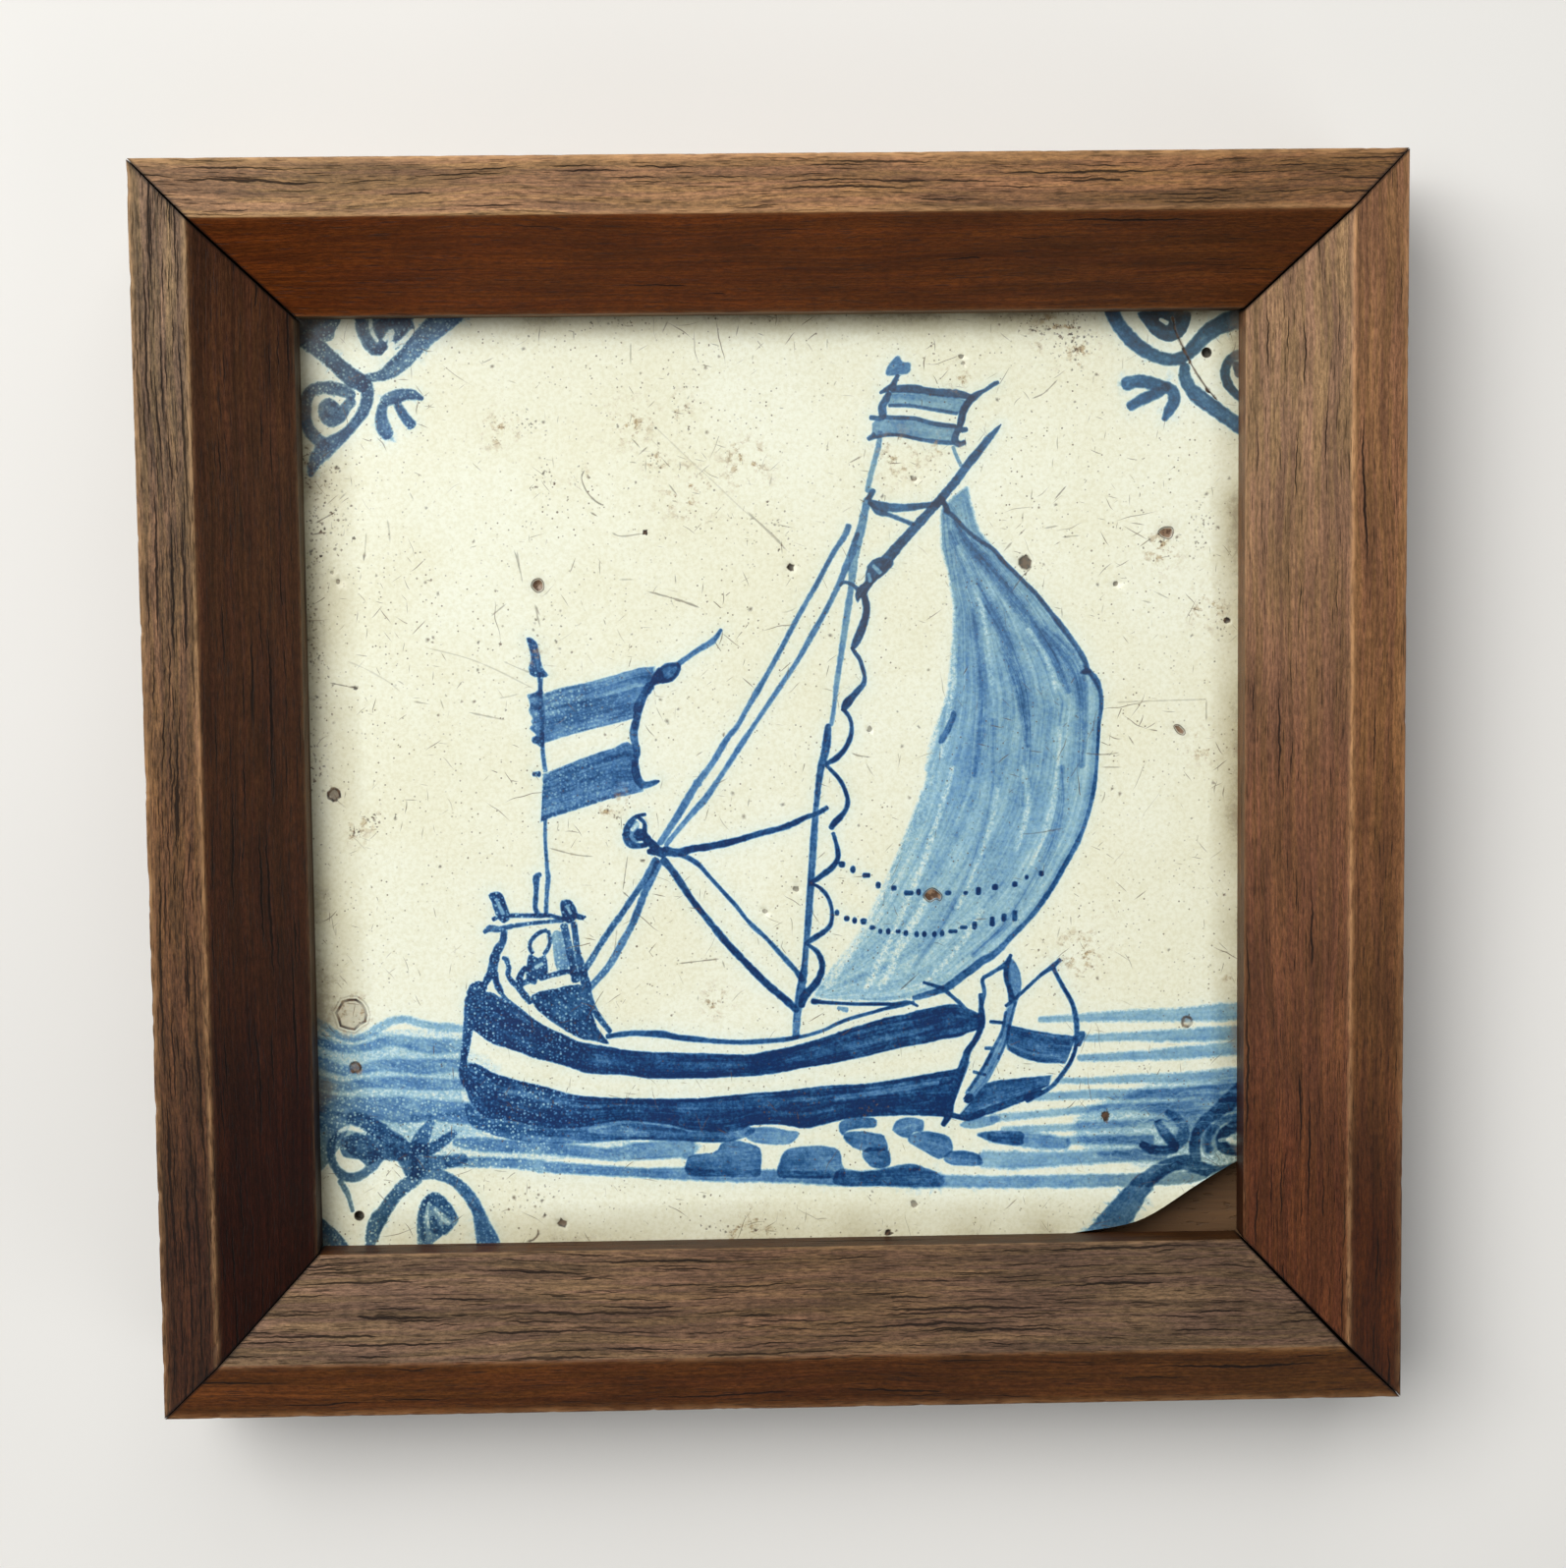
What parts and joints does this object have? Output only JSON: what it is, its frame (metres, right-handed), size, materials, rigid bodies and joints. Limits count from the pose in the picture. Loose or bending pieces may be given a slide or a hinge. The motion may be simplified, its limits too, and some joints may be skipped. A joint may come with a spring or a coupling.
{
  "type": "framed delft tile",
  "caption": "Square tin-glazed wall tile, painted in blue with a sailing barge and corner motifs, held in a mitred hardwood frame with a backing board.",
  "frame": {"origin": "middle of the frame's back, in the plane that it lies or hangs on", "axes": "+Z out of the tile's face, +Y to the top of the picture, +X to the picture's right"},
  "size_m": [0.16, 0.16, 0.0279],
  "materials": {
    "tile": "glossy tin glaze",
    "frame_wood": "worn satin",
    "backing_board": "matt",
    "fixing_steel": "dull"
  },
  "bodies": {
    "root": {"tile": "tile", "backing_board": "backing_board", "rail_bottom": "frame_wood", "fixing_point_bottom_1": "fixing_steel", "fixing_point_bottom_2": "fixing_steel", "rail_right": "frame_wood", "fixing_point_right_1": "fixing_steel", "fixing_point_right_2": "fixing_steel", "rail_top": "frame_wood", "fixing_point_top_1": "fixing_steel", "fixing_point_top_2": "fixing_steel", "rail_left": "frame_wood", "fixing_point_left_1": "fixing_steel", "fixing_point_left_2": "fixing_steel"}
  },
  "joints": []
}
